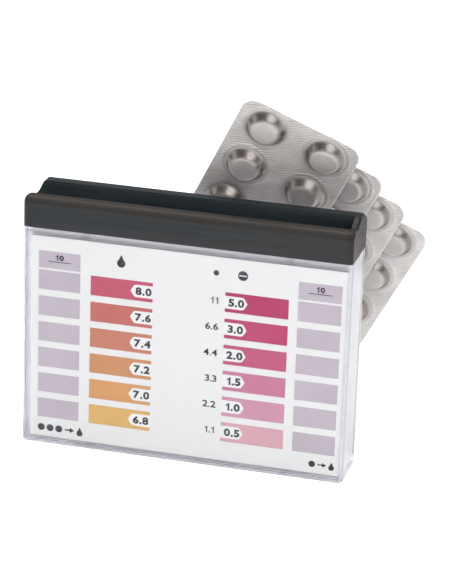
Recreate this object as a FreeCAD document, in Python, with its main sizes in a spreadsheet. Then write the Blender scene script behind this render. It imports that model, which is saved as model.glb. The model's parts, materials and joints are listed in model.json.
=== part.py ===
import FreeCAD, Part
import math
import os

import Sketcher

# Pool water tester with a clipped-on lid and four blister strips of reagent tablets.
# Millimetres. +Z is up, +X is to the right and the tester's front faces -Y.
# The origin is the centre of the tester's base face.

ROWS = 6
STRIPS = 4
TABLET_ROWS = 5
TABLET_COLUMNS = 2

# Distance under which two positions count as the same.
TOUCH = 0.01

# The sketcher's numbers for a sketch's two axes.
H_AXIS = -1
V_AXIS = -2

# Driving sizes: name, value, meaning.
SIZES = [
    ("body_width", 89.6, "clear body, left to right"),
    ("body_depth", 16.5, "clear body, front to back"),
    ("body_height", 61.8, "clear body, base to rim"),
    ("corner_radius", 1.6, "upright outer corners of the body, the lid and its rim"),
    ("base_radius", 0.6, "rounding round the base"),
    ("side_wall", 1.4, "body wall at the left and the right"),
    ("face_wall", 1.1, "body wall in front of and behind the chambers"),
    ("divider", 1.2, "wall between two chambers"),
    ("floor_thickness", 2.0, "floor under the chambers"),
    ("chamber_width", 15.1, "each outer sample chamber, left to right"),
    ("chamber_radius", 1.2, "upright inner corners of the chambers"),
    ("recess_rim", 0.9, "frame round the front recess that holds the window"),
    ("fit_gap", 0.05, "running gap round a part set in a recess"),
    ("window_thickness", 0.8, "clear front window"),
    ("print_gap", 0.1, "air between the window and the printed film"),
    ("film_thickness", 0.25, "printed scale film and its colour standards"),
    ("diffuser_thickness", 0.3, "white film on the back of the body"),
    ("label_left", 2.35, "body beyond the printed film's left edge"),
    ("label_right", 1.0, "body beyond the printed film's right edge"),
    ("label_bottom", 1.8, "body below the printed film"),
    ("label_top", 2.4, "body above the printed film"),
    ("row_bottom", 7.4, "lower edge of the lowest colour row"),
    ("row_gap", 1.85, "film between two colour rows"),
    ("fill_gap", 0.55, "film between the top row and the fill window"),
    ("fill_height", 4.85, "fill window that shows the water level"),
    ("fill_inset", 6.45, "fill window below the rim of the body"),
    ("view_margin", 3.5, "chamber width that the viewing windows leave covered"),
    ("view_inset_left", 3.0, "left viewing windows in from their chamber's left side"),
    ("view_inset_right", 2.4, "right viewing windows in from their chamber's left side"),
    ("acidity_inset", 1.2, "acidity standards in from the middle chamber's left side"),
    ("chlorine_inset", 17.3, "chlorine standards' left edge before the right chamber"),
    ("standard_width", 17.2, "colour standards, left to right"),
    ("lid_height", 10.3, "lid above the rim of the body, at its rear ridge"),
    ("ledge_height", 8.45, "lid above the rim of the body, at its front ridge"),
    ("ledge_run", 0.7, "flat top of the end wall behind the channel's front edge"),
    ("hump_front", 7.9, "front of the rear ridge's flat top, ahead of the lid's back"),
    ("hump_back", 3.9, "back of the rear ridge's flat top, ahead of the lid's back"),
    ("hump_drop", 2.2, "fall from the rear ridge's top to the lid's back"),
    ("lid_edge", 2.0, "rounding along the outside of the lid's top"),
    ("channel_front", 3.9, "front edge of the finger channel, behind the lid's front"),
    ("channel_back", 7.1, "back edge of the finger channel, ahead of the lid's back"),
    ("channel_draft", 0.9, "slope of the channel's two sides"),
    ("channel_depth", 2.8, "finger channel below the front ridge"),
    ("channel_edge", 0.5, "rounding along the channel's edges"),
    ("end_wall", 1.8, "wall that closes the channel at the right"),
    ("end_edge", 0.8, "rounding along the top of the lid's right end"),
    ("ridge_start", 0.9, "where the rear ridge starts to rise at the left"),
    ("ridge_full", 2.7, "where that slope eases off, near the ridge's full height"),
    ("ridge_edge", 0.5, "height of the easier slope at the top of the run-out"),
    ("lid_rim", 1.2, "lid wall round the seal"),
    ("seal_thickness", 2.2, "soft seal mat inside the lid"),
    ("plug_depth", 3.2, "seal plugs below the rim of the body"),
    ("plug_gap", 0.1, "between a plug and its chamber"),
    ("core_width", 1.2, "moulding cores inside the lid's ridges"),
    ("core_top", 1.6, "plastic left above a core in the front ridge"),
    ("lid_lift", 9.0, "travel of the lid that must stay clear of the strips"),
    ("side_land", 2.65, "flat foil outside the pockets at a strip's long edges"),
    ("end_land", 1.0, "flat foil outside the pockets at a strip's ends"),
    ("column_gap", 6.1, "flat foil between the two columns of pockets"),
    ("pocket_gap", 3.2, "flat foil between two pockets of a column"),
    ("strip_corner", 4.0, "corner radius of a strip"),
    ("pocket_base", 11.2, "pocket diameter at the foil"),
    ("pocket_top", 7.3, "pocket diameter at its flat top"),
    ("pocket_height", 2.8, "pocket above the back of the formed foil"),
    ("foil_thickness", 0.2, "formed foil"),
    ("pocket_wall", 0.25, "formed foil measured across the pocket's slope"),
    ("cover_thickness", 0.15, "sealing foil"),
    ("tablet_gap", 0.1, "between a tablet and the sealing foil"),
    ("tablet_head", 0.3, "between a tablet and the top of its pocket"),
    ("tablet_room", 0.3, "between a tablet and the top edge of its pocket"),
    ("stack_gap", 0.4, "between a strip's sealing foil and the pockets behind it"),
    ("lean", 21.0, "degrees the strips lean towards the tester"),
    ("turn", 26.0, "degrees the strips are turned clockwise in their plane"),
    ("fan_left", -18.7, "lower left corner of the first strip"),
    ("fan_across", 5.07, "step to the right from one strip to the next"),
    ("fan_down", 11.4, "step down the slope from one strip to the next"),
]

ALIASES = set(alias for alias, size, meaning in SIZES)

doc = FreeCAD.newDocument("pool_tester")
sheet = doc.addObject("Spreadsheet::Sheet", "Dims")
for line, (alias, size, meaning) in enumerate(SIZES, start=1):
    sheet.set("A%d" % line, alias)
    sheet.set("B%d" % line, repr(size))
    sheet.set("C%d" % line, meaning)
    sheet.setAlias("B%d" % line, alias)
doc.recompute()

parts = []


def dim(alias):
    """Value of one driving size."""
    return float(sheet.get(alias))


def dims(text):
    """Expression text with every driving size written as a reference to the sheet."""
    words = []
    for word in text.split():
        words.append("Dims." + word if word in ALIASES else word)
    return " ".join(words)


def new_body(label):
    """Empty body named for the sub-part it becomes."""
    body = doc.addObject("PartDesign::Body", label)
    body.Label = label
    return body


def keep(item, position):
    """Give a finished sub-part its place and put it on the list to export."""
    item.Placement = position
    parts.append(item)


def new_sketch(body, role, offset):
    """Sketch on one of the body's own planes, moved along the plane's normal by offset."""
    sketch = doc.addObject("Sketcher::SketchObject", body.Name + "_sketch")
    body.addObject(sketch)
    for plane in body.Origin.OriginFeatures:
        if plane.Role == role:
            sketch.AttachmentSupport = [(plane, "")]
    sketch.MapMode = "FlatFace"
    sketch.setExpression("AttachmentOffset.Base.z", dims(offset))
    return sketch


def tie(sketch, kind, references, size):
    """Distance in a sketch, bound to the sheet."""
    index = sketch.addConstraint(Sketcher.Constraint(kind, *references, 1.0))
    sketch.setExpression("Constraints[%d]" % index, dims(size))


def pin(sketch, line, across, up):
    """Place a line's first point by its distances from the sketch's two axes."""
    for kind, size, axis in (("DistanceX", across, V_AXIS), ("DistanceY", up, H_AXIS)):
        if size == "0":
            sketch.addConstraint(Sketcher.Constraint("PointOnObject", line, 1, axis))
        else:
            tie(sketch, kind, (H_AXIS, 1, line, 1), size)


def rectangle(sketch, left, bottom, width, height):
    """Closed rectangle whose four sizes are expressions."""
    corners = [(1, 1), (2, 1), (2, 2), (1, 2)]
    first = sketch.GeometryCount
    for start, end in zip(corners, corners[1:] + corners[:1]):
        line = Part.LineSegment(FreeCAD.Vector(*start, 0), FreeCAD.Vector(*end, 0))
        sketch.addGeometry(line, False)
    for side in range(4):
        following = (side + 1) % 4
        sketch.addConstraint(Sketcher.Constraint("Coincident", first + side, 2, first + following, 1))
        direction = "Horizontal" if side % 2 == 0 else "Vertical"
        sketch.addConstraint(Sketcher.Constraint(direction, first + side))
    pin(sketch, first, left, bottom)
    tie(sketch, "DistanceX", (first, 1, first, 2), width)
    tie(sketch, "DistanceY", (first + 1, 1, first + 1, 2), height)


def value(text):
    """Number that an expression stands for, from the sheet's present values."""
    words = [repr(dim(word)) if word in ALIASES else word for word in text.split()]
    total, sign = 0.0, 1.0
    for word in words:
        if word in "+-":
            sign = -1.0 if word == "-" else 1.0
        else:
            total += sign * float(word)
    return total


def polygon(sketch, points):
    """Closed outline through points whose two coordinates are sums of driving sizes."""
    spots = [FreeCAD.Vector(value(across), value(up), 0) for across, up in points]
    first = sketch.GeometryCount
    count = len(points)
    for corner in range(count):
        line = Part.LineSegment(spots[corner], spots[(corner + 1) % count])
        sketch.addGeometry(line, False)
    for corner in range(count):
        following = first + (corner + 1) % count
        sketch.addConstraint(Sketcher.Constraint("Coincident", first + corner, 2, following, 1))
    for corner, (across, up) in enumerate(points):
        pin(sketch, first + corner, across, up)


def extrude(body, kind, sketch, length, reverse):
    """Pad or Pocket of one sketch, checked to add or remove material."""
    before = body.Shape.Volume if body.Tip else 0.0
    feature = body.newObject("PartDesign::" + kind, body.Name + "_" + kind.lower())
    feature.Profile = sketch
    feature.Type = "Length"
    feature.Reversed = reverse
    feature.setExpression("Length", dims(length))
    sketch.Visibility = False
    doc.recompute()
    change = feature.Shape.Volume - before
    if (change > 0) != (kind == "Pad"):
        raise ValueError("%s of %s runs the wrong way" % (kind, body.Label))
    return feature


def round_edges(body, chosen, radius):
    """Fillet every edge of the body's tip that the test picks."""
    tip = body.Tip
    names = []
    for number, edge in enumerate(tip.Shape.Edges, start=1):
        if chosen(edge):
            names.append("Edge%d" % number)
    if not names:
        raise ValueError("no edge to round on " + body.Label)
    fillet = body.newObject("PartDesign::Fillet", body.Name + "_fillet")
    fillet.Base = (tip, names)
    fillet.setExpression("Radius", dims(radius))
    doc.recompute()
    return fillet


def near(found, target):
    """True when two positions count as the same."""
    return abs(found - target) < TOUCH


def upright(edge):
    """True for an edge that runs along Z."""
    box = edge.BoundBox
    return box.XLength < TOUCH and box.YLength < TOUCH and box.ZLength > TOUCH


def lengthwise(edge):
    """True for an edge that runs along X."""
    box = edge.BoundBox
    return box.YLength < TOUCH and box.ZLength < TOUCH and box.XLength > TOUCH


def outer_corner(edge):
    """Upright edge at one of the four outer corners of the tester."""
    centre = edge.BoundBox.Center
    at_side = near(centre.x, 0) or near(centre.x, dim("body_width"))
    at_face = near(centre.y, 0) or near(centre.y, dim("body_depth"))
    return upright(edge) and at_side and at_face


tester_place = FreeCAD.Placement(
    FreeCAD.Vector(-dim("body_width") / 2, -dim("body_depth") / 2, 0), FreeCAD.Rotation()
)

# Depth of the chambers and where they start, behind the film, window and front wall.
chamber_front = "window_thickness + print_gap + film_thickness + face_wall"
chamber_depth = (
    "( body_depth - window_thickness - print_gap - film_thickness - diffuser_thickness - 2 * face_wall )"
)
middle_left = "side_wall + chamber_width + divider"
middle_width = "( body_width - 2 * side_wall - 2 * chamber_width - 2 * divider )"
right_left = "body_width - side_wall - chamber_width"
chambers = [
    ("side_wall", "chamber_width"),
    (middle_left, middle_width),
    (right_left, "chamber_width"),
]

# The film's margins, the columns lined up with the chambers, and rows that share the
# height between the lowest row's edge and the fill window.
label_width = "( body_width - label_left - label_right )"
label_height = "( body_height - label_bottom - label_top )"
view_width = "( chamber_width - view_margin )"
view_lefts = ["side_wall + view_inset_left", right_left + " + view_inset_right"]
standard_lefts = {
    "acidity": middle_left + " + acidity_inset",
    "chlorine": right_left + " - chlorine_inset",
}
fill_bottom = "( body_height - fill_inset - fill_height )"
rows_height = "( %s - fill_gap - row_bottom + row_gap )" % fill_bottom
row_pitch = "( %s / %d )" % (rows_height, ROWS)
row_height = "( %s - row_gap )" % row_pitch


def is_chamber_corner(edge):
    """Upright edge inside a chamber."""
    centre = edge.BoundBox.Center
    left = dim("side_wall")
    front = value(chamber_front)
    back = dim("body_depth") - dim("diffuser_thickness") - dim("face_wall")
    inside_x = left - TOUCH < centre.x < dim("body_width") - left + TOUCH
    inside_y = front - TOUCH < centre.y < back + TOUCH
    return upright(edge) and inside_x and inside_y


def is_base_edge(edge):
    """Edge round the base face."""
    box = edge.BoundBox
    return near(box.ZMax, 0) and near(box.ZMin, 0)


# Clear body: outer block, three open chambers, a recess in front and one behind.
body = new_body("tester_body")
sketch = new_sketch(body, "XZ_Plane", "0")
rectangle(sketch, "0", "0", "body_width", "body_height")
extrude(body, "Pad", sketch, "body_depth", True)
round_edges(body, outer_corner, "corner_radius")
round_edges(body, is_base_edge, "base_radius")
sketch = new_sketch(body, "XY_Plane", "body_height")
for left, width in chambers:
    rectangle(sketch, left, chamber_front, width, chamber_depth)
extrude(body, "Pocket", sketch, "body_height - floor_thickness", False)
round_edges(body, is_chamber_corner, "chamber_radius")
sketch = new_sketch(body, "XZ_Plane", "0")
rectangle(
    sketch, "recess_rim", "recess_rim", "body_width - 2 * recess_rim", "body_height - 2 * recess_rim"
)
extrude(body, "Pocket", sketch, "window_thickness + print_gap + film_thickness", False)
sketch = new_sketch(body, "XZ_Plane", "0 - body_depth")
rectangle(sketch, "label_left", "label_bottom", label_width, label_height)
extrude(body, "Pocket", sketch, "diffuser_thickness", True)
keep(body, tester_place)

# Clear window over the printed film.
body = new_body("front_window")
sketch = new_sketch(body, "XZ_Plane", "0")
rectangle(
    sketch,
    "recess_rim + fit_gap",
    "recess_rim + fit_gap",
    "body_width - 2 * recess_rim - 2 * fit_gap",
    "body_height - 2 * recess_rim - 2 * fit_gap",
)
extrude(body, "Pad", sketch, "window_thickness", True)
keep(body, tester_place)

# Printed film: clear viewing windows over the outer chambers, seats for the colour standards.
body = new_body("scale_film")
sketch = new_sketch(body, "XZ_Plane", "0 - window_thickness - print_gap")
rectangle(sketch, "label_left", "label_bottom", label_width, label_height)
extrude(body, "Pad", sketch, "film_thickness", True)
sketch = new_sketch(body, "XZ_Plane", "0 - window_thickness - print_gap")
for left in view_lefts:
    rectangle(sketch, left, fill_bottom, view_width, "fill_height")
extrude(body, "Pocket", sketch, "film_thickness", False)
sketch = new_sketch(body, "XZ_Plane", "0 - window_thickness - print_gap")
for left in view_lefts:
    rectangle(sketch, left, "row_bottom", view_width, row_height)
for left in standard_lefts.values():
    rectangle(sketch, left, "row_bottom", "standard_width", row_height)
openings = extrude(body, "Pocket", sketch, "film_thickness", False)
pattern = body.newObject("PartDesign::LinearPattern", "film_rows")
pattern.Originals = [openings]
pattern.Direction = (sketch, ["V_Axis"])
pattern.Occurrences = ROWS
pattern.setExpression("Length", dims("%s * %d" % (row_pitch, ROWS - 1)))
body.Tip = pattern
doc.recompute()
keep(body, tester_place)

# Translucent colour standards, one in each seat of the film; number one is the top row.
for family, left in standard_lefts.items():
    for row in range(ROWS):
        body = new_body("%s_standard_%d" % (family, ROWS - row))
        sketch = new_sketch(body, "XZ_Plane", "0 - window_thickness - print_gap")
        rectangle(
            sketch,
            left + " + fit_gap",
            "row_bottom + %s * %d + fit_gap" % (row_pitch, row),
            "standard_width - 2 * fit_gap",
            row_height + " - 2 * fit_gap",
        )
        extrude(body, "Pad", sketch, "film_thickness", True)
        keep(body, tester_place)

# White film in the rear recess that evens out the light behind the chambers.
body = new_body("diffuser_film")
sketch = new_sketch(body, "XZ_Plane", "diffuser_thickness - body_depth")
rectangle(
    sketch,
    "label_left + fit_gap",
    "label_bottom + fit_gap",
    label_width + " - 2 * fit_gap",
    label_height + " - 2 * fit_gap",
)
extrude(body, "Pad", sketch, "diffuser_thickness", True)
keep(body, tester_place)


def along_at(depth, height):
    """Test for an edge that runs along X at one depth and height of the lid's section."""
    def test(edge):
        box = edge.BoundBox
        return lengthwise(edge) and near(box.YMin, value(depth)) and near(box.ZMin, value(height))
    return test


def lid_corner(edge):
    """Upright outer corner of the lid."""
    box = edge.BoundBox
    at_side = near(box.XMin, 0) or near(box.XMax, dim("body_width"))
    at_face = near(box.YMin, 0) or near(box.YMax, dim("body_depth"))
    return upright(edge) and at_side and at_face


def lid_end(edge):
    """Edge along the top of the lid's right end."""
    box = edge.BoundBox
    at_end = near(box.XMin, dim("body_width")) and near(box.XMax, dim("body_width"))
    return at_end and not upright(edge) and box.ZMin > dim("body_height") + TOUCH


# Lid: front ridge, finger channel and a higher rear ridge, hollow below for the seal.
lid_top = "body_height + lid_height"
ledge_top = "body_height + ledge_height"
rear_top = "body_height + lid_height - hump_drop"
channel_floor = "body_height + ledge_height - channel_depth"
ledge_back = "channel_front + ledge_run"
hump_front = "body_depth - hump_front"
hump_back = "body_depth - hump_back"
channel_back = "body_depth - channel_back"
body = new_body("lid")
sketch = new_sketch(body, "YZ_Plane", "0")
polygon(sketch, [
    ("0", "body_height"),
    ("0", ledge_top),
    (ledge_back, ledge_top),
    (hump_front, lid_top),
    (hump_back, lid_top),
    ("body_depth", rear_top),
    ("body_depth", "body_height"),
])
extrude(body, "Pad", sketch, "body_width", False)
for depth, height, radius in (
    ("0", ledge_top, "lid_edge"),
    (ledge_back, ledge_top, "channel_edge"),
    (hump_front, lid_top, "lid_edge"),
    (hump_back, lid_top, "lid_edge"),
    ("body_depth", rear_top, "lid_edge"),
):
    round_edges(body, along_at(depth, height), radius)
round_edges(body, lid_end, "end_edge")
round_edges(body, lid_corner, "corner_radius")

# The rear ridge runs out in a slope at the left.
sketch = new_sketch(body, "XZ_Plane", "0 - channel_front")
polygon(sketch, [
    ("0 - body_depth", channel_floor),
    ("ridge_start", channel_floor),
    ("ridge_full", lid_top + " - ridge_edge"),
    ("ridge_full + ridge_edge + ridge_edge", lid_top),
    ("ridge_full + ridge_edge + ridge_edge", lid_top + " + body_depth"),
    ("0 - body_depth", lid_top + " + body_depth"),
])
extrude(body, "Pocket", sketch, "body_depth", False)

# The channel is open at the left and closed by a wall at the right. Moulding cores from
# below keep the plastic of both ridges thin.
sketch = new_sketch(body, "YZ_Plane", "0 - body_depth")
polygon(sketch, [
    ("channel_front", ledge_top),
    ("channel_front + channel_draft", channel_floor),
    (channel_back + " - channel_draft", channel_floor),
    (channel_back, lid_top),
    (channel_back, lid_top + " + body_depth"),
    ("channel_front", lid_top + " + body_depth"),
])
extrude(body, "Pocket", sketch, "body_depth + body_width - end_wall", True)
round_edges(body, along_at("channel_front", ledge_top), "channel_edge")
sketch = new_sketch(body, "XY_Plane", "body_height")
rectangle(sketch, "lid_rim", "lid_rim", "body_width - 2 * lid_rim", "body_depth - 2 * lid_rim")
extrude(body, "Pocket", sketch, "seal_thickness", True)
sketch = new_sketch(body, "XY_Plane", "body_height")
rectangle(
    sketch,
    "corner_radius + lid_rim",
    "lid_rim",
    "body_width - 2 * corner_radius - 2 * lid_rim",
    "core_width",
)
extrude(body, "Pocket", sketch, "ledge_height - core_top", True)
sketch = new_sketch(body, "XY_Plane", "body_height")
rectangle(
    sketch,
    "ridge_full + lid_rim",
    channel_back + " + lid_rim",
    "body_width - ridge_full - 2 * lid_rim - end_wall",
    "channel_back - 2 * lid_rim",
)
extrude(body, "Pocket", sketch, "lid_height - hump_drop - core_top", True)
keep(body, tester_place)

# Soft seal: a mat inside the lid with one plug for each chamber.
body = new_body("lid_seal")
sketch = new_sketch(body, "XY_Plane", "body_height")
rectangle(
    sketch,
    "lid_rim + fit_gap",
    "lid_rim + fit_gap",
    "body_width - 2 * lid_rim - 2 * fit_gap",
    "body_depth - 2 * lid_rim - 2 * fit_gap",
)
extrude(body, "Pad", sketch, "seal_thickness - fit_gap", False)
sketch = new_sketch(body, "XY_Plane", "body_height")
for left, width in chambers:
    rectangle(
        sketch,
        left + " + plug_gap",
        chamber_front + " + plug_gap",
        width + " - 2 * plug_gap",
        chamber_depth + " - 2 * plug_gap",
    )
extrude(body, "Pad", sketch, "plug_depth", True)


def plug_corner(edge):
    """Upright corner of a seal plug."""
    return upright(edge) and near(edge.BoundBox.ZMin, dim("body_height") - dim("plug_depth"))


round_edges(body, plug_corner, "chamber_radius")
keep(body, tester_place)

# Strips. Each lies in a plane that leans towards the tester and is turned in that plane.
# Local X runs across the strip, local Y along it, and the pockets stand on the +Z side.
lean = math.radians(dim("lean"))
turn = math.radians(dim("turn"))
across = FreeCAD.Vector(1, 0, 0)
slope = FreeCAD.Vector(0, -math.sin(lean), math.cos(lean))
pocket_side = FreeCAD.Vector(0, -math.cos(lean), -math.sin(lean))
rotation = FreeCAD.Rotation(FreeCAD.Vector(1, 0, 0), 90 + dim("lean")).multiply(
    FreeCAD.Rotation(FreeCAD.Vector(0, 0, 1), -dim("turn"))
)

# The first strip's pocket tops stop just behind the lid's rear edge with the lid lifted.
lid_back = FreeCAD.Vector(0, dim("body_depth") / 2, value(rear_top + " + lid_lift"))
stack_pitch = dim("pocket_height") + dim("cover_thickness") + dim("stack_gap")


def plane_offset(number):
    """Distance of a strip's foil plane along the pocket side."""
    first = pocket_side.dot(lid_back) - dim("stack_gap") - dim("pocket_height")
    return first - number * stack_pitch


# A strip's outline and pitches follow its pockets and the flat foil round them.
column_pitch = "( pocket_base + column_gap )"
pocket_pitch = "( pocket_base + pocket_gap )"
strip_width = "( %s * %d + pocket_base + 2 * side_land )" % (column_pitch, TABLET_COLUMNS - 1)
strip_length = "( %s * %d + pocket_base + 2 * end_land )" % (pocket_pitch, TABLET_ROWS - 1)

# The last strip stands on the ground on its lower right corner.
strip_side = (dim("pocket_base") + dim("column_gap")) * (TABLET_COLUMNS - 1)
strip_side = strip_side + dim("pocket_base") + 2 * dim("side_land")
reach = (strip_side - dim("strip_corner")) * math.sin(turn)
reach = reach - dim("strip_corner") * math.cos(turn) + dim("strip_corner")
foot = (plane_offset(STRIPS - 1) + dim("foil_thickness")) * math.tan(lean) + reach


def strip_place(number):
    """Position of a strip's lower left corner, on the plane between its two foils."""
    right = dim("fan_left") + number * dim("fan_across")
    up = foot + (STRIPS - 1 - number) * dim("fan_down")
    point = across * right + slope * up + pocket_side * plane_offset(number)
    return FreeCAD.Placement(point, rotation)


def strip_plate(label, thickness, reverse):
    """Flat rounded plate the size of a strip."""
    plate = new_body(label)
    outline = new_sketch(plate, "XY_Plane", "0")
    rectangle(outline, "0", "0", strip_width, strip_length)
    extrude(plate, "Pad", outline, thickness, reverse)
    round_edges(plate, upright, "strip_corner")
    return plate


def pocket_grid(name, kind, sizes):
    """One Part primitive for every pocket of a strip, with its sizes bound to the sheet."""
    items = []
    for column in range(TABLET_COLUMNS):
        for row in range(TABLET_ROWS):
            item = doc.addObject(kind, "%s_%d_%d" % (name, column + 1, row + 1))
            for size, expression in sizes:
                item.setExpression(size, dims(expression))
            centre_x = "side_land + pocket_base / 2 + %s * %d" % (column_pitch, column)
            centre_y = "end_land + pocket_base / 2 + %s * %d" % (pocket_pitch, row)
            item.setExpression("Placement.Base.x", dims(centre_x))
            item.setExpression("Placement.Base.y", dims(centre_y))
            items.append(item)
    return items


outer_pocket = [
    ("Radius1", "pocket_base / 2"),
    ("Radius2", "pocket_top / 2"),
    ("Height", "pocket_height"),
]
inner_pocket = [
    ("Radius1", "pocket_base / 2 - pocket_wall"),
    ("Radius2", "pocket_top / 2 - pocket_wall"),
    ("Height", "pocket_height - foil_thickness"),
]
tablet = [
    ("Radius", "pocket_top / 2 - pocket_wall - tablet_room"),
    ("Height", "pocket_height - foil_thickness - tablet_gap - tablet_head"),
    ("Placement.Base.z", "tablet_gap"),
]
for number in range(STRIPS):
    prefix = "strip_%d_" % (number + 1)
    place = strip_place(number)

    # Formed foil: plate with frustum pockets, hollow from behind.
    plate = strip_plate(prefix + "plate", "foil_thickness", False)
    raised = doc.addObject("Part::MultiFuse", prefix + "raised")
    raised.Shapes = [plate] + pocket_grid(prefix + "outer", "Part::Cone", outer_pocket)
    hollows = doc.addObject("Part::Compound", prefix + "hollows")
    hollows.Links = pocket_grid(prefix + "inner", "Part::Cone", inner_pocket)
    foil = doc.addObject("Part::Cut", prefix + "formed_foil")
    foil.Base = raised
    foil.Tool = hollows
    foil.Label = prefix + "formed_foil"
    doc.recompute()
    keep(foil, place)

    # Flat sealing foil behind it.
    cover = strip_plate(prefix + "sealing_foil", "cover_thickness", True)
    keep(cover, place)

    # One tablet in every pocket.
    tablets = doc.addObject("Part::Compound", prefix + "tablets")
    tablets.Links = pocket_grid(prefix + "tablet", "Part::Cylinder", tablet)
    tablets.Label = prefix + "tablets"
    keep(tablets, place)

doc.recompute()
for item in doc.Objects:
    if "Invalid" in item.State or "Error" in item.State:
        raise ValueError("%s did not compute" % item.Label)
os.makedirs("parts", exist_ok=True)
for item in parts:
    if item.Shape.isNull() or not item.Shape.isValid() or not item.Shape.Solids:
        raise ValueError("%s has no valid solid" % item.Label)
    item.Shape.exportStep("parts/%s.step" % item.Label)
    box = item.Shape.BoundBox
    print("%-24s solids %2d volume %9.2f  X %7.2f %7.2f  Y %7.2f %7.2f  Z %7.2f %7.2f" % (
        item.Label, len(item.Shape.Solids), item.Shape.Volume,
        box.XMin, box.XMax, box.YMin, box.YMax, box.ZMin, box.ZMax))
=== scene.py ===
import json
import math

import bmesh
import bpy
from mathutils import Matrix, Vector


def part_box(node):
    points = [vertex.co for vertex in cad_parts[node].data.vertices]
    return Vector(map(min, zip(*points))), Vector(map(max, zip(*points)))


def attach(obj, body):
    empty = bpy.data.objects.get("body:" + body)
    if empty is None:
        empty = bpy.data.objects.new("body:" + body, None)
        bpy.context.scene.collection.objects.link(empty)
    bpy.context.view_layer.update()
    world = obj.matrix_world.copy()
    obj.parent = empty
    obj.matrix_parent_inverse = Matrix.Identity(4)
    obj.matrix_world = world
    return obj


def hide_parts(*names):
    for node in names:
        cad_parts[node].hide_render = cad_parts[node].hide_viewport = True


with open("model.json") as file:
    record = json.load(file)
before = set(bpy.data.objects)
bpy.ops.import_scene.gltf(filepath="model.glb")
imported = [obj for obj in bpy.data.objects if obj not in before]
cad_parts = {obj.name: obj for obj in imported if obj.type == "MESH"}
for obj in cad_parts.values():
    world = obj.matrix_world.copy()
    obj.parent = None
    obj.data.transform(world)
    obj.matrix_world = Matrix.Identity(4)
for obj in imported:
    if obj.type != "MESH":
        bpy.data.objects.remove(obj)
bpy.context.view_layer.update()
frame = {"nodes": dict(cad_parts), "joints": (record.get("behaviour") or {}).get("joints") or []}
nodes = frame["nodes"]
MM = 0.001

# ---------------------------------------------------------------- colours


def linear(*rgb):
    """Scene colour for a colour given as it should look on screen, 0 to 255."""
    out = []
    for value in rgb:
        value = value / 255
        out.append(value / 12.92 if value <= 0.04045 else ((value + 0.055) / 1.055) ** 2.4)
    return (*out, 1.0)


INK = linear(58, 58, 64)
PRINT_WHITE = linear(240, 240, 240)
VIEW_LILAC = linear(196, 186, 197)
ACIDITY = (
    (198, 89, 114), (201, 114, 106), (205, 132, 108),
    (209, 148, 104), (220, 162, 108), (226, 184, 112),
)
CHLORINE = (
    (185, 62, 106), (193, 72, 117), (197, 91, 130),
    (204, 129, 160), (211, 153, 178), (222, 172, 184),
)

# ---------------------------------------------------------------- where things are

STRIPS = 4

# Sizes of a strip, repeated from the part.
STRIP_WIDTH = 33.8 * MM
STRIP_LENGTH = 70.8 * MM
STRIP_CORNER = 4.0 * MM
COLUMN_PITCH = 17.3 * MM
POCKET_PITCH = 14.4 * MM
POCKET_BASE = 5.6 * MM
POCKET_TOP = 3.65 * MM
POCKET_HEIGHT = 2.8 * MM
FOIL = 0.2 * MM
RIB_PITCH = 0.8 * MM

# Directions of the strips: along their length, up the plane they lie in, out of the pockets and across.
joints = {joint["name"]: joint for joint in frame["joints"]}
strip_along = Vector(joints["strip_1_slide"]["axis"]).normalized()
turn = math.asin(strip_along.x)
lean = math.atan2(-strip_along.y, strip_along.z)
slope = Vector((0, -math.sin(lean), math.cos(lean)))
pocket_side = Vector((0, -math.cos(lean), -math.sin(lean)))
strip_across = (Vector((1, 0, 0)) * math.cos(turn) - slope * math.sin(turn)).normalized()


def low(node):
    """Lowest corner of a node's box at rest."""
    return Vector(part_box(node)[0])


def high(node):
    """Highest corner of a node's box at rest."""
    return Vector(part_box(node)[1])


def foil_corner(number):
    """Lower left corner of a strip on the plane between its two foils, from its sealing foil."""
    points = [Vector(v.co) for v in nodes["strip_%d_sealing_foil" % number].data.vertices]
    left = min(p.dot(strip_across) for p in points)
    bottom = min(p.dot(strip_along) for p in points)
    front = max(p.dot(pocket_side) for p in points)
    return strip_across * left + strip_along * bottom + pocket_side * front


# ---------------------------------------------------------------- node helpers

# Sockets of a colour mix node.
FACTOR = 0
FIRST = 6
SECOND = 7
MIXED = 2


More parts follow.
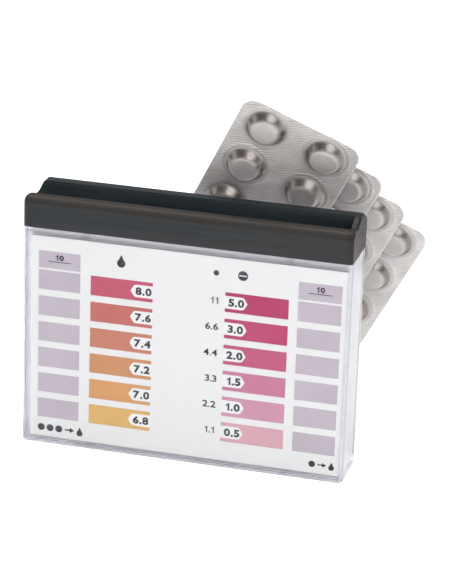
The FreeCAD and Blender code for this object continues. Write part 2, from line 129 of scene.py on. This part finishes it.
class Nodes:
    """A material's node tree with short ways to add and join nodes."""

    def __init__(self, name):
        self.material = bpy.data.materials.new(name)
        self.material.use_nodes = True
        self.tree = self.material.node_tree
        self.tree.nodes.clear()
        self.out = self.add("ShaderNodeOutputMaterial")
        self.shader = self.add("ShaderNodeBsdfPrincipled")
        self.join(self.shader, "BSDF", self.out, "Surface")
        self.place = self.add("ShaderNodeTexCoord")

    def add(self, kind, **settings):
        node = self.tree.nodes.new(kind)
        for key, value in settings.items():
            setattr(node, key, value)
        return node

    def join(self, source, output, target, socket):
        self.tree.links.new(source.outputs[output], target.inputs[socket])

    def set(self, **values):
        for key, value in values.items():
            self.shader.inputs[key.replace("_", " ")].default_value = value

    def noise(self, scale, detail=4.0, stretch=(1, 1, 1), rough=0.5):
        """Noise in object coordinates; scale counts cells per metre."""
        mapping = self.add("ShaderNodeMapping")
        mapping.inputs["Scale"].default_value = stretch
        self.join(self.place, "Object", mapping, "Vector")
        texture = self.add("ShaderNodeTexNoise")
        texture.inputs["Scale"].default_value = scale
        texture.inputs["Detail"].default_value = detail
        texture.inputs["Roughness"].default_value = rough
        self.join(mapping, "Vector", texture, "Vector")
        return texture

    def ramp(self, source, output, stops):
        """Colour ramp with a (position, colour) pair for each stop."""
        ramp = self.add("ShaderNodeValToRGB")
        elements = ramp.color_ramp.elements
        elements[0].position, elements[0].color = stops[0]
        elements[1].position, elements[1].color = stops[-1]
        for position, colour in stops[1:-1]:
            elements.new(position).color = colour
        self.join(source, output, ramp, "Fac")
        return ramp

    def remap(self, source, output, low, high, start=0.3, end=0.7):
        """The source's values between start and end spread from low to high."""
        node = self.add("ShaderNodeMapRange")
        node.inputs["From Min"].default_value = start
        node.inputs["From Max"].default_value = end
        node.inputs["To Min"].default_value = low
        node.inputs["To Max"].default_value = high
        self.join(source, output, node, "Value")
        return node

    def maths(self, operation, first, output, second=None, second_output=None, value=None):
        """Arithmetic on one output and either another output or a number."""
        node = self.add("ShaderNodeMath", operation=operation)
        self.join(first, output, node, 0)
        if second is not None:
            self.join(second, second_output, node, 1)
        elif value is not None:
            node.inputs[1].default_value = value
        return node

    def along(self, direction, offset):
        """Object coordinates measured along a direction, plus an offset."""
        product = self.add("ShaderNodeVectorMath", operation="DOT_PRODUCT")
        self.join(self.place, "Object", product, 0)
        product.inputs[1].default_value = direction
        return self.maths("ADD", product, "Value", value=offset)

    def multiply(self, colour, output, shade):
        """Colour darkened by a map range's result; the product is at MIXED."""
        node = self.add("ShaderNodeMix", data_type="RGBA", blend_type="MULTIPLY")
        node.inputs[FACTOR].default_value = 1.0
        self.join(colour, output, node, FIRST)
        self.join(shade, "Result", node, SECOND)
        return node

    def cover(self, mask, mask_output, under, under_output, colour):
        """One colour laid over another where the mask is high; the result is at MIXED."""
        node = self.add("ShaderNodeMix", data_type="RGBA")
        self.join(mask, mask_output, node, FACTOR)
        self.join(under, under_output, node, FIRST)
        node.inputs[SECOND].default_value = colour
        return node

    def bump(self, source, output, depth, strength=1.0, before=None):
        """Bump of a depth in metres, laid over an earlier bump if one is given."""
        node = self.add("ShaderNodeBump")
        node.inputs["Strength"].default_value = strength
        node.inputs["Distance"].default_value = depth
        self.join(source, output, node, "Height")
        if before is not None:
            self.join(before, "Normal", node, "Normal")
        self.join(node, "Normal", self.shader, "Normal")
        return node


def blend_colours(one, other, amount):
    """Colour part of the way from one to the other."""
    return tuple(a + (b - a) * amount for a, b in zip(one, other))


def plain(name, colour, roughness, grain, depth, contrast=0.05, sheen=0.5, stretch=(1, 1, 1), glow=0.0):
    """Moulded or printed surface with a faint cloud of tone, gloss and grain."""
    m = Nodes(name)
    cloud = m.noise(grain, stretch=stretch)
    dark = blend_colours(colour, (0, 0, 0, 1), contrast)
    light = blend_colours(colour, (1, 1, 1, 1), contrast)
    tone = m.ramp(cloud, "Fac", [(0.3, dark), (0.7, light)])
    m.join(tone, "Color", m.shader, "Base Color")
    gloss = m.remap(cloud, "Fac", roughness * 0.85, min(1.0, roughness * 1.15))
    m.join(gloss, "Result", m.shader, "Roughness")
    fine = m.noise(grain * 6, stretch=stretch)
    m.bump(fine, "Fac", depth)
    m.set(Specular_IOR_Level=sheen, Emission_Color=colour, Emission_Strength=glow)
    return m.material


def clear_plastic(name, tint, roughness, ripple, clarity, bend):
    """Injection-moulded clear plastic with faint flow ripples and a trace of haze."""
    m = Nodes(name)
    m.set(Base_Color=tint, Transmission_Weight=clarity, IOR=bend, Roughness=roughness)
    flow = m.noise(55, detail=2.0, stretch=(1.0, 1.0, 2.6))
    gloss = m.remap(flow, "Fac", roughness * 0.6, roughness * 1.5)
    m.join(gloss, "Result", m.shader, "Roughness")
    m.bump(flow, "Fac", ripple, 0.5)
    return m.material


def lid_plastic():
    """Charcoal moulding: long flow streaks, fine spark-eroded grain, a painted warm highlight along the front
    ridge, painted shade on the right end and painted highlights making the crests paler."""
    m = Nodes("lid_charcoal")
    streaks = m.noise(700, detail=4.0, stretch=(0.035, 1.0, 1.0))
    cloud = m.noise(28, detail=3.0)
    mixed = m.maths("ADD", streaks, "Fac", cloud, "Fac")
    half = m.maths("MULTIPLY", mixed, "Value", value=0.5)
    tone = m.ramp(half, "Value", [
        (0.38, linear(23, 32, 36)), (0.5, linear(32, 40, 45)), (0.62, linear(43, 47, 50))])
    where = m.add("ShaderNodeSeparateXYZ")
    m.join(m.place, "Object", where, "Vector")
    # Painted highlight: a warmer, lighter band along the top of the front ridge.
    raised = m.remap(where, "Z", 0.0, 1.0, 67.0 * MM, 69.5 * MM)
    forward = m.remap(where, "Y", 1.0, 0.0, -4.8 * MM, -4.0 * MM)
    ridge = m.maths("MULTIPLY", raised, "Result", forward, "Result")
    ridge_highlight = m.cover(ridge, "Value", tone, "Color", linear(48, 44, 41))
    # Painted shade: the right end of the lid is darkened.
    right_end = high("tester_body").x
    near_end = m.remap(where, "X", 0.0, 1.0, right_end - 2.0 * MM, right_end - 0.3 * MM)
    end = m.cover(near_end, "Result", ridge_highlight, MIXED, linear(26, 21, 18))
    # Painted highlight: sharp crests of the lid are paler.
    geometry = m.add("ShaderNodeNewGeometry")
    crest = m.remap(geometry, "Pointiness", 0.0, 0.55, 0.52, 0.60)
    crest_highlight = m.cover(crest, "Result", end, MIXED, linear(58, 53, 51))
    m.join(crest_highlight, MIXED, m.shader, "Base Color")
    gloss = m.remap(half, "Value", 0.40, 0.56, 0.36, 0.64)
    m.join(gloss, "Result", m.shader, "Roughness")
    long_bump = m.bump(streaks, "Fac", 0.04 * MM, 0.6)
    grain = m.noise(2600, detail=2.0)
    m.bump(grain, "Fac", 0.02 * MM, 0.5, before=long_bump)
    m.set(Specular_IOR_Level=0.24)
    return m.material


def formed_foil():
    """Aluminium foil: ribs embossed up the slope of the land, glossier metal on the pocket walls, and painted
    shade: darker lines in the rib valleys and darker pocket tops and walls.
    """
    m = Nodes("formed_foil")
    land = m.add("ShaderNodeAttribute", attribute_name="land")
    wall = m.add("ShaderNodeAttribute", attribute_name="wall")
    cloud = m.noise(140, detail=5.0)
    tone = m.ramp(cloud, "Fac", [(0.3, linear(199, 195, 192)), (0.7, linear(222, 218, 216))])
    level = m.along(slope, 0.0)
    wobble = m.noise(60, detail=2.0)
    shift = m.maths("MULTIPLY", wobble, "Fac", value=0.4 * MM)
    shifted = m.maths("ADD", level, "Value", shift, "Value")
    turns = m.maths("MULTIPLY", shifted, "Value", value=2 * math.pi / RIB_PITCH)
    wave = m.maths("SINE", turns, "Value")
    rib = m.maths("MULTIPLY", wave, "Value", land, "Fac")
    # Painted shade: the colour darkens in the rib valleys, following the rib bump.
    shade = m.remap(rib, "Value", 0.80, 1.0, -1.0, 1.0)
    lined = m.multiply(tone, "Color", shade)
    # Painted shade: the pocket tops and walls darker and the flat land a little lighter.
    crown = m.remap(land, "Fac", 0.82, 1.02, 0.0, 1.0)
    tops_shaded = m.multiply(lined, MIXED, crown)
    drawn = m.noise(900, detail=3.0, stretch=(1.0, 1.0, 0.12))
    grain = m.bump(drawn, "Fac", 0.02 * MM, 0.35)
    m.bump(rib, "Value", 0.03 * MM, 1.0, before=grain)
    # Painted shade: the colour of the pocket walls is darkened.
    wall_shade = m.cover(wall, "Fac", tops_shaded, MIXED, linear(122, 116, 112))
    m.join(wall_shade, MIXED, m.shader, "Base Color")
    gloss = m.remap(wall, "Fac", 0.46, 0.27, 0.0, 1.0)
    m.join(gloss, "Result", m.shader, "Roughness")
    metal = m.remap(wall, "Fac", 0.5, 0.95, 0.0, 1.0)
    m.join(metal, "Result", m.shader, "Metallic")
    return m.material


def sealing_foil(number):
    """Flat foil of one strip: cross-hatched embossing, smooth and slightly dished over each pocket."""
    m = Nodes("sealing_foil_%d" % number)
    corner = foil_corner(number)
    across = m.along(strip_across, -corner.dot(strip_across))
    along = m.along(strip_along, -corner.dot(strip_along))
    squares, hatch = [], []
    for line, middle, pitch in (
        (across, (STRIP_WIDTH - COLUMN_PITCH) / 2, COLUMN_PITCH),
        (along, STRIP_LENGTH / 2, POCKET_PITCH),
    ):
        offset = m.maths("SUBTRACT", line, "Value", value=middle)
        cell = m.maths("WRAP", offset, "Value", value=pitch / 2)
        cell.inputs[2].default_value = -pitch / 2
        squares.append(m.maths("POWER", cell, "Value", value=2.0))
        turns = m.maths("MULTIPLY", line, "Value", value=2 * math.pi / RIB_PITCH)
        hatch.append(m.maths("SINE", turns, "Value"))
    total = m.maths("ADD", squares[0], "Value", squares[1], "Value")
    distance = m.maths("SQRT", total, "Value")
    outside = m.remap(distance, "Value", 0.0, 1.0, POCKET_BASE - 0.5 * MM, POCKET_BASE + 0.2 * MM)
    crossed = m.maths("MULTIPLY", hatch[0], "Value", hatch[1], "Value")
    knurl = m.maths("MULTIPLY", crossed, "Value", outside, "Result")
    cloud = m.noise(70, detail=3.0)
    tone = m.ramp(cloud, "Fac", [(0.3, linear(206, 202, 199)), (0.7, linear(216, 213, 211))])
    # Painted shade: the colour darkens where the cross-hatched embossing is low, following its bump.
    shade = m.remap(knurl, "Value", 0.84, 1.0, -1.0, 1.0)
    lined = m.multiply(tone, "Color", shade)
    m.join(lined, MIXED, m.shader, "Base Color")
    gloss = m.remap(outside, "Result", 0.33, 0.47, 0.0, 1.0)
    m.join(gloss, "Result", m.shader, "Roughness")
    dish = m.bump(outside, "Result", 0.18 * MM, 1.0)
    m.bump(knurl, "Value", 0.03 * MM, 1.0, before=dish)
    m.set(Metallic=0.6)
    return m.material


def new_object(name, mesh, material, body):
    """Visible piece with its material, riding on a body."""
    piece = bpy.data.objects.new(name, mesh)
    bpy.context.scene.collection.objects.link(piece)
    mesh.materials.append(material)
    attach(piece, body)
    return piece


# ---------------------------------------------------------------- formed foils

# Shape of the drawn sheet: slight waves, a bead round each pocket, a crowned pocket top.
WAVE = 0.03 * MM
BEAD_HEIGHT = 0.16 * MM
BEAD_WIDTH = 0.42 * MM
BEAD_RADIUS = POCKET_BASE + 0.75 * MM
POCKET_REACH = POCKET_BASE + 2.2 * MM
LAND_START = POCKET_BASE + 0.2 * MM
LAND_BLEND = 0.9 * MM
CROWN = 0.10 * MM
GRID = 0.36 * MM
SHEET = FOIL * 0.7


def eased(t, soft=0.22):
    """0 to 1 with straight middle and rounded ends."""
    t = max(-soft, min(1 + soft, t))
    if t < soft:
        return (t + soft) ** 2 / (4 * soft)
    if t > 1 - soft:
        return 1 - (1 + soft - t) ** 2 / (4 * soft)
    return t


def blister_height(x, y, centres):
    """Height of the formed foil's outer face, how much of it is flat land and how much is wall."""
    height = FOIL + WAVE * (math.sin(x * 310 + 1.3) * math.sin(y * 190 + 0.4) - 1)
    land = 1.0
    wall = 0.0
    for centre_x, centre_y in centres:
        distance = math.hypot(x - centre_x, y - centre_y)
        if distance > POCKET_REACH:
            continue
        rise = eased((POCKET_BASE - distance) / (POCKET_BASE - POCKET_TOP))
        bead = BEAD_HEIGHT * math.exp(-(((distance - BEAD_RADIUS) / BEAD_WIDTH) ** 2))
        crown = CROWN * min(1.0, (distance / POCKET_TOP) ** 2)
        height = height + bead * (1 - rise) + (POCKET_HEIGHT - FOIL - crown) * rise
        land = min(land, max(0.0, min(1.0, (distance - LAND_START) / LAND_BLEND)))
        wall = max(wall, min(1.0, 5 * rise * (1 - rise)))
    return height, land, wall


def blister(number, material):
    """Formed foil of one strip as a fine sheet with soft frustum pockets."""
    node = "strip_%d_formed_foil" % number
    corner = foil_corner(number)
    centres = []
    for column in (-0.5, 0.5):
        for row in (-2, -1, 0, 1, 2):
            centres.append((STRIP_WIDTH / 2 + column * COLUMN_PITCH, STRIP_LENGTH / 2 + row * POCKET_PITCH))
    # Rows of vertices are closer together in the rounded corners.
    straight = STRIP_LENGTH - 2 * STRIP_CORNER
    middle = round(straight / GRID)
    corner_rows = [STRIP_CORNER * (1 - math.cos(math.radians(angle))) for angle in range(0, 91, 10)]
    rows = list(corner_rows)
    for k in range(1, middle):
        rows.append(STRIP_CORNER + straight * k / middle)
    rows += [STRIP_LENGTH - row for row in reversed(corner_rows)]
    columns = round(STRIP_WIDTH / GRID)
    vertices, lands, walls, faces = [], [], [], []
    for y in rows:
        edge = min(y, STRIP_LENGTH - y)
        inset = 0.0
        if edge < STRIP_CORNER:
            inset = STRIP_CORNER - math.sqrt(max(0.0, STRIP_CORNER ** 2 - (STRIP_CORNER - edge) ** 2))
        for k in range(columns + 1):
            x = inset + (STRIP_WIDTH - 2 * inset) * k / columns
            height, land, wall = blister_height(x, y, centres)
            vertices.append(corner + strip_across * x + strip_along * y + pocket_side * height)
            lands.append(land)
            walls.append(wall)
    wide = columns + 1
    for r in range(len(rows) - 1):
        for k in range(columns):
            a = r * wide + k
            faces.append((a, a + 1, a + wide + 1, a + wide))
    mesh = bpy.data.meshes.new("strip_%d_blister" % number)
    mesh.from_pydata(vertices, [], faces)
    for field, values in (("land", lands), ("wall", walls)):
        mesh.attributes.new(field, "FLOAT", "POINT").data.foreach_set("value", values)
    for face in mesh.polygons:
        face.use_smooth = True
    piece = new_object(mesh.name, mesh, material, "strip_%d" % number)
    thickness = piece.modifiers.new("thickness", "SOLIDIFY")
    thickness.thickness = SHEET
    thickness.offset = -1.0
    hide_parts(node)
    return piece


# ---------------------------------------------------------------- print

PRINT = 0.03 * MM
film_front = low("scale_film").y


def plate(name, outline, depth, front, material, body="tester"):
    """Thin plate from an outline of (x, z) points, its front face at the given y."""
    mesh = bpy.data.meshes.new(name)
    shape = bmesh.new()
    face = shape.faces.new([shape.verts.new((x, front, z)) for x, z in outline])
    if face.normal.y > 0:
        face.normal_flip()
    shape.normal_update()
    grown = bmesh.ops.extrude_face_region(shape, geom=[face])
    moved = [v for v in grown["geom"] if isinstance(v, bmesh.types.BMVert)]
    bmesh.ops.translate(shape, verts=moved, vec=(0, depth, 0))
    bmesh.ops.recalc_face_normals(shape, faces=shape.faces)
    shape.to_mesh(mesh)
    shape.free()
    return new_object(name, mesh, material, body)


def rounded(left, bottom, right, top, radius, steps=4):
    """Outline of a rectangle with rounded corners."""
    points = []
    for cx, cz, start in (
        (right - radius, bottom + radius, -90), (right - radius, top - radius, 0),
        (left + radius, top - radius, 90), (left + radius, bottom + radius, 180),
    ):
        for k in range(steps + 1):
            angle = math.radians(start + 90 * k / steps)
            points.append((cx + radius * math.cos(angle), cz + radius * math.sin(angle)))
    return points


# The figures are wider than the font's, and their "1" has a flag. Its points are parts of its height.
WIDEN = 1.16
ONE = (
    (0.27, 0.0), (0.50, 0.0), (0.50, 1.0), (0.34, 1.0),
    (0.26, 0.88), (0.04, 0.76), (0.04, 0.57), (0.27, 0.68),
)
THIN_ONE = (
    (0.28, 0.0), (0.45, 0.0), (0.45, 1.0), (0.33, 1.0),
    (0.25, 0.86), (0.06, 0.77), (0.06, 0.61), (0.28, 0.71),
)


def glyph(char, height, weight):
    """Flat outline mesh of one figure or point, its lower left corner at the origin."""
    shape = bmesh.new()
    if char == "1":
        points = ONE if weight > 0.03 else THIN_ONE
        shape.faces.new([shape.verts.new((x * height, y * height, 0)) for x, y in points])
        width = 0.56 * height
    elif char == ".":
        side = (0.12 + 3.2 * weight) * height
        corners = ((0, 0), (side, 0), (side, side), (0, side))
        shape.faces.new([shape.verts.new((x, y, 0)) for x, y in corners])
        width = side
    else:
        curve = bpy.data.curves.new("figure", "FONT")
        curve.body = char
        curve.size = 1.0
        curve.offset = weight
        curve.resolution_u = 4
        flat = bpy.data.objects.new("figure", curve)
        bpy.context.scene.collection.objects.link(flat)
        bpy.context.view_layer.update()
        mesh = bpy.data.meshes.new_from_object(flat)
        bpy.data.objects.remove(flat)
        shape.from_mesh(mesh)
        bpy.data.meshes.remove(mesh)
        left = min(v.co.x for v in shape.verts)
        bottom = min(v.co.y for v in shape.verts)
        scale = height / (max(v.co.y for v in shape.verts) - bottom)
        for v in shape.verts:
            v.co = ((v.co.x - left) * scale * WIDEN, (v.co.y - bottom) * scale, 0)
        width = max(v.co.x for v in shape.verts)
    return shape, width


def number_text(name, text, x, z, size, align="CENTER", weight=0.040, front=None):
    """Printed figures as thin geometry; z is the middle of the figures."""
    whole = bpy.data.meshes.new(name)
    row = bmesh.new()
    pen = 0.0
    for char in text:
        shape, width = glyph(char, size, weight)
        bmesh.ops.translate(shape, verts=shape.verts, vec=(pen, 0, 0))
        shape.to_mesh(whole)
        row.from_mesh(whole)
        shape.free()
        pen += width + 0.11 * size
    pen -= 0.11 * size
    grown = bmesh.ops.extrude_face_region(row, geom=row.faces[:])
    moved = [v for v in grown["geom"] if isinstance(v, bmesh.types.BMVert)]
    bmesh.ops.translate(row, verts=moved, vec=(0, 0, PRINT))
    bmesh.ops.recalc_face_normals(row, faces=row.faces)
    row.to_mesh(whole)
    row.free()
    start = x - (pen / 2 if align == "CENTER" else pen)
    y = film_front if front is None else front
    upright = Matrix.Rotation(math.radians(90), 4, "X")
    whole.transform(Matrix.Translation((start, y, z - size / 2)) @ upright)
    return new_object(name, whole, ink, "tester")


def join(name, pieces):
    """One piece made of several that ride together."""
    first = pieces[0]
    shape = bmesh.new()
    for piece in pieces:
        shape.from_mesh(piece.data)
    shape.to_mesh(first.data)
    shape.free()
    for piece in pieces[1:]:
        bpy.data.objects.remove(piece)
    first.name = name
    first.data.name = name
    return first


# ---------------------------------------------------------------- materials on the frame's parts

clear = clear_plastic(
    "clear_moulding", (0.955, 0.945, 0.995, 1.0), roughness=0.14, ripple=0.03 * MM, clarity=0.70, bend=1.15)
window = clear_plastic(
    "clear_window", (0.99, 0.99, 0.995, 1.0), roughness=0.02, ripple=0.01 * MM, clarity=1.0, bend=1.12)
paper = plain("scale_print", PRINT_WHITE, 0.42, 160, 0.004 * MM, contrast=0.01, sheen=0.15)
diffuser = plain("diffuser_film", linear(236, 235, 240), 0.62, 220, 0.01 * MM, contrast=0.03)
rubber = plain("seal_rubber", linear(206, 206, 212), 0.55, 180, 0.01 * MM, contrast=0.05)
tablet = plain("tablet_pressed", linear(240, 240, 236), 0.8, 900, 0.03 * MM, contrast=0.06)
ink = plain("print_ink", INK, 0.5, 300, 0.002 * MM, contrast=0.06, sheen=0.15)
tag_white = plain("print_tag", linear(244, 244, 245), 0.42, 200, 0.002 * MM, contrast=0.01, sheen=0.15)
pane = plain("view_pane", VIEW_LILAC, 0.32, 120, 0.004 * MM, contrast=0.03, sheen=0.2)
lid_material = lid_plastic()
ribbed_foil = formed_foil()


def dress(node, material):
    """Give a node of the frame its material."""
    slots = nodes[node].data.materials
    if len(slots) == 0:
        slots.append(material)
    for index in range(len(slots)):
        slots[index] = material


dress("tester_body", clear)
dress("front_window", window)
dress("scale_film", paper)
dress("diffuser_film", diffuser)
dress("lid", lid_material)
dress("lid_seal", rubber)
for family, colours in (("acidity", ACIDITY), ("chlorine", CHLORINE)):
    for row, rgb in enumerate(colours, start=1):
        shade = plain("%s_ink_%d" % (family, row), linear(*rgb), 0.34, 110, 0.004 * MM,
                      contrast=0.02, sheen=0.15)
        dress("%s_standard_%d" % (family, row), shade)
for number in range(1, STRIPS + 1):
    blister(number, ribbed_foil)
    dress("strip_%d_sealing_foil" % number, sealing_foil(number))
    dress("strip_%d_tablets" % number, tablet)

# ---------------------------------------------------------------- printed details

body_left = low("tester_body").x
body_right = high("tester_body").x
ROWS = 6

# Viewing windows beside the colours and the fill window over them, repeated from the part.
VIEW_WIDTH = 11.6 * MM
VIEWS = [(left, left + VIEW_WIDTH) for left in (body_left + 4.4 * MM, body_right - 14.1 * MM)]
FILL = (50.5 * MM, 55.35 * MM)
SEAT_GAP = 0.05 * MM

# A tinted pane fills each window, a hair smaller than the window and behind the film's face.
PANE_GAP = 0.03 * MM
PANE_DEPTH = 0.1 * MM
pane_front = film_front + 0.04 * MM
panes = []
for side, (left, right) in enumerate(VIEWS):
    spans = [FILL]
    for row in range(1, ROWS + 1):
        node = "acidity_standard_%d" % row
        spans.append((low(node).z - SEAT_GAP, high(node).z + SEAT_GAP))
    for row, (bottom, top) in enumerate(spans):
        outline = rounded(
            left + PANE_GAP, bottom + PANE_GAP, right - PANE_GAP, top - PANE_GAP, 0.12 * MM, 2)
        panes.append(plate("pane_%d_%d" % (side, row), outline, PANE_DEPTH, pane_front, pane))
join("viewing_panes", panes)

# Value tags: rounded arrow heads that leave a strip of colour above and below.
TAG_LENGTH = 6.1 * MM
TAG_HEIGHT = 3.5 * MM
ACIDITY_VALUES = ("8.0", "7.6", "7.4", "7.2", "7.0", "6.8")
CHLORINE_VALUES = ("5.0", "3.0", "2.0", "1.5", "1.0", "0.5")
SECOND_VALUES = ("11", "6.6", "4.4", "3.3", "2.2", "1.1")


def arrow(tip, flat, middle):
    """Outline of a tag whose point is at tip and whose square end is at flat."""
    sign = 1 if flat > tip else -1
    half = TAG_HEIGHT / 2
    points = []
    for along, up in ((1.55, 1.0), (1.2, 0.97), (0.85, 0.82), (0.25, 0.28), (0.06, 0.1), (0.0, 0.0)):
        points.append((tip + sign * along * MM, middle + up * half))
    outline = points + [(x, 2 * middle - z) for x, z in reversed(points[:-1])]
    outline += [(flat, middle - half), (flat, middle + half)]
    return outline


# Where the values sit, from a tag's square end or from the chlorine colours' left edge.
TAG_EXTRA = 0.06 * MM
ACIDITY_INSET = 2.55 * MM
CHLORINE_INSET = 3.1 * MM
SECOND_GAP = 1.6 * MM
SECOND_RISE = 0.15 * MM
VALUE_HEIGHT = 2.2 * MM
SECOND_HEIGHT = 1.9 * MM
print_front = film_front - PRINT
for row in range(ROWS):
    acid = "acidity_standard_%d" % (row + 1)
    middle = (low(acid).z + high(acid).z) / 2
    right = high(acid).x + TAG_EXTRA
    left = low("chlorine_standard_%d" % (row + 1)).x - TAG_EXTRA
    for family, flat, way, inset, values in (
        ("acidity", right, -1, ACIDITY_INSET, ACIDITY_VALUES),
        ("chlorine", left, 1, CHLORINE_INSET, CHLORINE_VALUES),
    ):
        outline = arrow(flat + way * TAG_LENGTH, flat, middle)
        plate("%s_tag_%d" % (family, row + 1), outline, PRINT, print_front, tag_white)
        number_text("%s_value_%d" % (family, row + 1), values[row], flat + way * inset, middle,
                    VALUE_HEIGHT, front=print_front)
    number_text("second_value_%d" % (row + 1), SECOND_VALUES[row], left - SECOND_GAP,
                middle + SECOND_RISE, SECOND_HEIGHT, align="RIGHT", weight=0.022)

# Fill mark: the chamber's volume and a line under it.
FILL_HEIGHT = 1.6 * MM
fill_bottom = FILL[0]
for side, (left, right) in enumerate(VIEWS):
    centre = (left + right) / 2
    number_text("fill_value_%d" % side, "10", centre, fill_bottom + 3.2 * MM, FILL_HEIGHT, front=pane_front)
    outline = rounded(
        centre - 3.2 * MM, fill_bottom + 1.86 * MM, centre + 3.2 * MM, fill_bottom + 2.08 * MM,
        0.1 * MM, 2)
    plate("fill_line_%d" % side, outline, PRINT, pane_front - PRINT, ink)


def droplet(x, z, size):
    """Outline of a water drop."""
    points = [(x, z + size * 0.85)]
    radius = size * 0.5
    for k in range(25):
        angle = math.radians(50 - 280 * k / 24)
        points.append((x + radius * math.cos(angle), z - size * 0.2 + radius * math.sin(angle)))
    return points


def disc(x, z, radius, steps=28):
    """Outline of a round dot."""
    points = []
    for k in range(steps):
        angle = 2 * math.pi * k / steps
        points.append((x + radius * math.cos(angle), z + radius * math.sin(angle)))
    return points


# Symbols over the columns: a drop, a small dot and a scored tablet.
HEAD = 55.0 * MM
acidity_left = low("acidity_standard_1").x
chlorine_left = low("chlorine_standard_1").x
drop = droplet(acidity_left + 8.3 * MM, HEAD - 0.2 * MM, 2.3 * MM)
score = rounded(
    chlorine_left + 3.6 * MM, HEAD - 0.14 * MM, chlorine_left + 5.6 * MM, HEAD + 0.14 * MM, 0.1 * MM, 2)
plate("acidity_symbol", drop, PRINT, print_front, ink)
plate("chlorine_symbol", disc(chlorine_left + 4.6 * MM, HEAD, 1.35 * MM), PRINT, print_front, ink)
plate("chlorine_score", score, PRINT, print_front - PRINT, tag_white)
plate("second_symbol", disc(chlorine_left - 2.6 * MM, HEAD, 0.75 * MM), PRINT, print_front, ink)

# Marks at the foot of the film: a tablet, an arrow and a drop.
FOOT = 4.4 * MM


def foot_marks(name, left, size, tablets):
    """Row of tablets, an arrow and a drop."""
    outlines = []
    for index in range(tablets):
        outlines.append(("tablet_%d" % index, disc(left + size / 2, FOOT, size / 2)))
        left += size * 1.25
    half = size * 0.1
    bar = rounded(left + half, FOOT - half, left + size * 0.9, FOOT + half, size * 0.05, 2)
    outlines.append(("bar", bar))
    base = left + size * 0.8
    side = size * 0.38
    outlines.append(("point", [(base, FOOT - side), (left + size * 1.45, FOOT), (base, FOOT + side)]))
    left += size * 2.2
    outlines.append(("drop", droplet(left, FOOT - size * 0.1, size * 0.85)))
    pieces = []
    for part, outline in outlines:
        pieces.append(plate("%s_%s" % (name, part), outline, PRINT, print_front, ink))
    return join(name, pieces)


foot_marks("left_foot_mark", body_left + 4.5 * MM, 2.0 * MM, 3)
foot_marks("right_foot_mark", body_right - 9.4 * MM, 1.8 * MM, 1)

# ---------------------------------------------------------------- stage, camera and light

# The floor lies a hair under the object, so that the two never share a plane.
floor_mesh = bpy.data.meshes.new("floor")
reach = 3.0
under = -0.05 * MM
floor_mesh.from_pydata(
    [(-reach, -reach, under), (reach, -reach, under), (reach, reach, under), (-reach, reach, under)],
    [], [(0, 1, 2, 3)])
floor_mesh.materials.append(plain("floor_pale", linear(246, 246, 247), 0.75, 6, 0.0, contrast=0.01, glow=0.5))
floor = bpy.data.objects.new("floor", floor_mesh)
bpy.context.scene.collection.objects.link(floor)

# Camera: its heading, height and roll, where it stands, and its lens and sensor in millimetres.
AZIMUTH = math.radians(14.2)
ELEVATION = math.radians(20.65)
ROLL = math.radians(1.98)
STAND = Vector((172.5, -644.9, 297.8)) * MM
LENS = 165.452
SENSOR = 36
to_camera = Vector((
    math.sin(AZIMUTH) * math.cos(ELEVATION),
    -math.cos(AZIMUTH) * math.cos(ELEVATION),
    math.sin(ELEVATION),
))
right = Vector((math.cos(AZIMUTH), math.sin(AZIMUTH), 0))
up = to_camera.cross(right)
basis = Matrix((right, up, to_camera)).transposed() @ Matrix.Rotation(ROLL, 3, "Z")
camera_data = bpy.data.cameras.new("camera")
camera_data.sensor_width = SENSOR
camera_data.lens = LENS
camera_data.clip_start = 0.01
camera = bpy.data.objects.new("camera", camera_data)
camera.matrix_world = Matrix.Translation(STAND) @ basis.to_4x4()
bpy.context.scene.collection.objects.link(camera)
bpy.context.scene.camera = camera

world = bpy.data.worlds.new("studio")
world.use_nodes = True
# Studio walls: bright at the right, dimmer towards the left.
walls = world.node_tree
background = walls.nodes["Background"]
background.inputs["Color"].default_value = (1, 1, 1, 1)
heading = walls.nodes.new("ShaderNodeTexCoord")
sides = walls.nodes.new("ShaderNodeSeparateXYZ")
level = walls.nodes.new("ShaderNodeMapRange")
walls.links.new(heading.outputs["Generated"], sides.inputs["Vector"])
walls.links.new(sides.outputs["X"], level.inputs["Value"])
level.inputs["From Min"].default_value = -1.0
level.inputs["From Max"].default_value = 0.6
level.inputs["To Min"].default_value = 0.22
level.inputs["To Max"].default_value = 0.62
walls.links.new(level.outputs["Result"], background.inputs["Strength"])
bpy.context.scene.world = world


def softbox(name, place, target, width, height, power):
    """Rectangular light aimed at a point."""
    data = bpy.data.lights.new(name, "AREA")
    data.shape = "RECTANGLE"
    data.size = width
    data.size_y = height
    data.energy = power
    light = bpy.data.objects.new(name, data)
    light.location = place
    light.rotation_euler = (Vector(target) - Vector(place)).to_track_quat("-Z", "Y").to_euler()
    bpy.context.scene.collection.objects.link(light)
    return light


softbox("key", (0.55, -0.75, 0.85), (0, 0, 0.04), 0.9, 0.9, 7.8)
softbox("top", (-0.1, 0.25, 1.0), (0, 0.02, 0.03), 0.7, 0.5, 5.6)
softbox("fill", (-0.9, -0.3, 0.45), (0, 0, 0.03), 0.4, 0.6, 1.1)
bpy.context.scene.view_settings.view_transform = "Standard"
bpy.context.scene.cycles.max_bounces = 24
bpy.context.scene.cycles.transmission_bounces = 24
